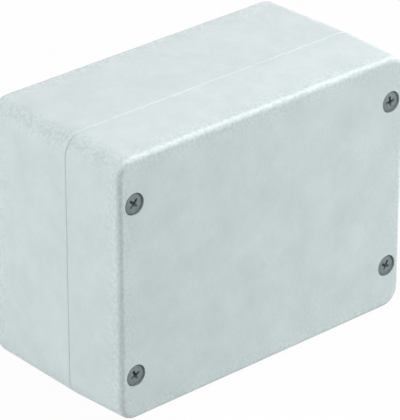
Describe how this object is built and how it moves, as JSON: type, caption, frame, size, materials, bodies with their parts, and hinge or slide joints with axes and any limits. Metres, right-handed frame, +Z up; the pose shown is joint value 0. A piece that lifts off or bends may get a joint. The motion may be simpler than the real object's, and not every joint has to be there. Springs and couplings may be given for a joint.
{
  "type": "die cast aluminium box",
  "caption": "Rectangular die cast aluminium box with drafted walls, a deep lid held by recessed captive screws, a sealed joint and wall-fixing holes under the lid.",
  "frame": {"origin": "middle of the lower long edge of the box, on the surface it stands on, below the centre of its bounding box", "axes": "+X along the width, +Y from the lid to the wall-fixing back, +Z up"},
  "size_m": [0.12, 0.06, 0.09],
  "materials": {
    "cast_aluminium": "as-cast, blasted",
    "gasket_rubber": "matt",
    "screw_steel": "zinc plated",
    "ring_steel": "dark",
    "earth_brass": "plain"
  },
  "bodies": {
    "base": {"base": "cast_aluminium", "earth_screw": "earth_brass", "earth_spring_washer": "earth_brass", "earth_clamp": "earth_brass"},
    "lid": {"lid": "cast_aluminium", "gasket": "gasket_rubber"},
    "ring_1": {"retaining_ring_1": "ring_steel"},
    "screw_1": {"lid_screw_1": "screw_steel"},
    "ring_2": {"retaining_ring_2": "ring_steel"},
    "screw_2": {"lid_screw_2": "screw_steel"},
    "ring_3": {"retaining_ring_3": "ring_steel"},
    "screw_3": {"lid_screw_3": "screw_steel"},
    "ring_4": {"retaining_ring_4": "ring_steel"},
    "screw_4": {"lid_screw_4": "screw_steel"}
  },
  "joints": [
    {"name": "lid_lift", "type": "slide", "parent": "base", "child": "lid", "axis": [0, -1, 0], "range_m": [0, 0.07]},
    {"name": "screw_1_travel", "type": "slide", "parent": "lid", "child": "ring_1", "axis": [0, -1, 0], "range_m": [0, 0.0091]},
    {"name": "screw_2_travel", "type": "slide", "parent": "lid", "child": "ring_2", "axis": [0, -1, 0], "range_m": [0, 0.0091]},
    {"name": "screw_3_travel", "type": "slide", "parent": "lid", "child": "ring_3", "axis": [0, -1, 0], "range_m": [0, 0.0091]},
    {"name": "screw_4_travel", "type": "slide", "parent": "lid", "child": "ring_4", "axis": [0, -1, 0], "range_m": [0, 0.0091]},
    {"name": "screw_1_turn", "type": "hinge", "parent": "ring_1", "child": "screw_1", "pos_m": [-0.0532, -0.0274, 0.016], "axis": [0, -1, 0], "range_deg": [0, 4681]},
    {"name": "screw_2_turn", "type": "hinge", "parent": "ring_2", "child": "screw_2", "pos_m": [0.0532, -0.0274, 0.016], "axis": [0, -1, 0], "range_deg": [0, 4681]},
    {"name": "screw_3_turn", "type": "hinge", "parent": "ring_3", "child": "screw_3", "pos_m": [0.0532, -0.0274, 0.074], "axis": [0, -1, 0], "range_deg": [0, 4681]},
    {"name": "screw_4_turn", "type": "hinge", "parent": "ring_4", "child": "screw_4", "pos_m": [-0.0532, -0.0274, 0.074], "axis": [0, -1, 0], "range_deg": [0, 4681]}
  ],
  "couplings": [
    {"joint": "screw_1_turn", "follows": "screw_1_travel", "rad_per_m": 8976},
    {"joint": "screw_2_turn", "follows": "screw_2_travel", "rad_per_m": 8976},
    {"joint": "screw_3_turn", "follows": "screw_3_travel", "rad_per_m": 8976},
    {"joint": "screw_4_turn", "follows": "screw_4_travel", "rad_per_m": 8976}
  ]
}
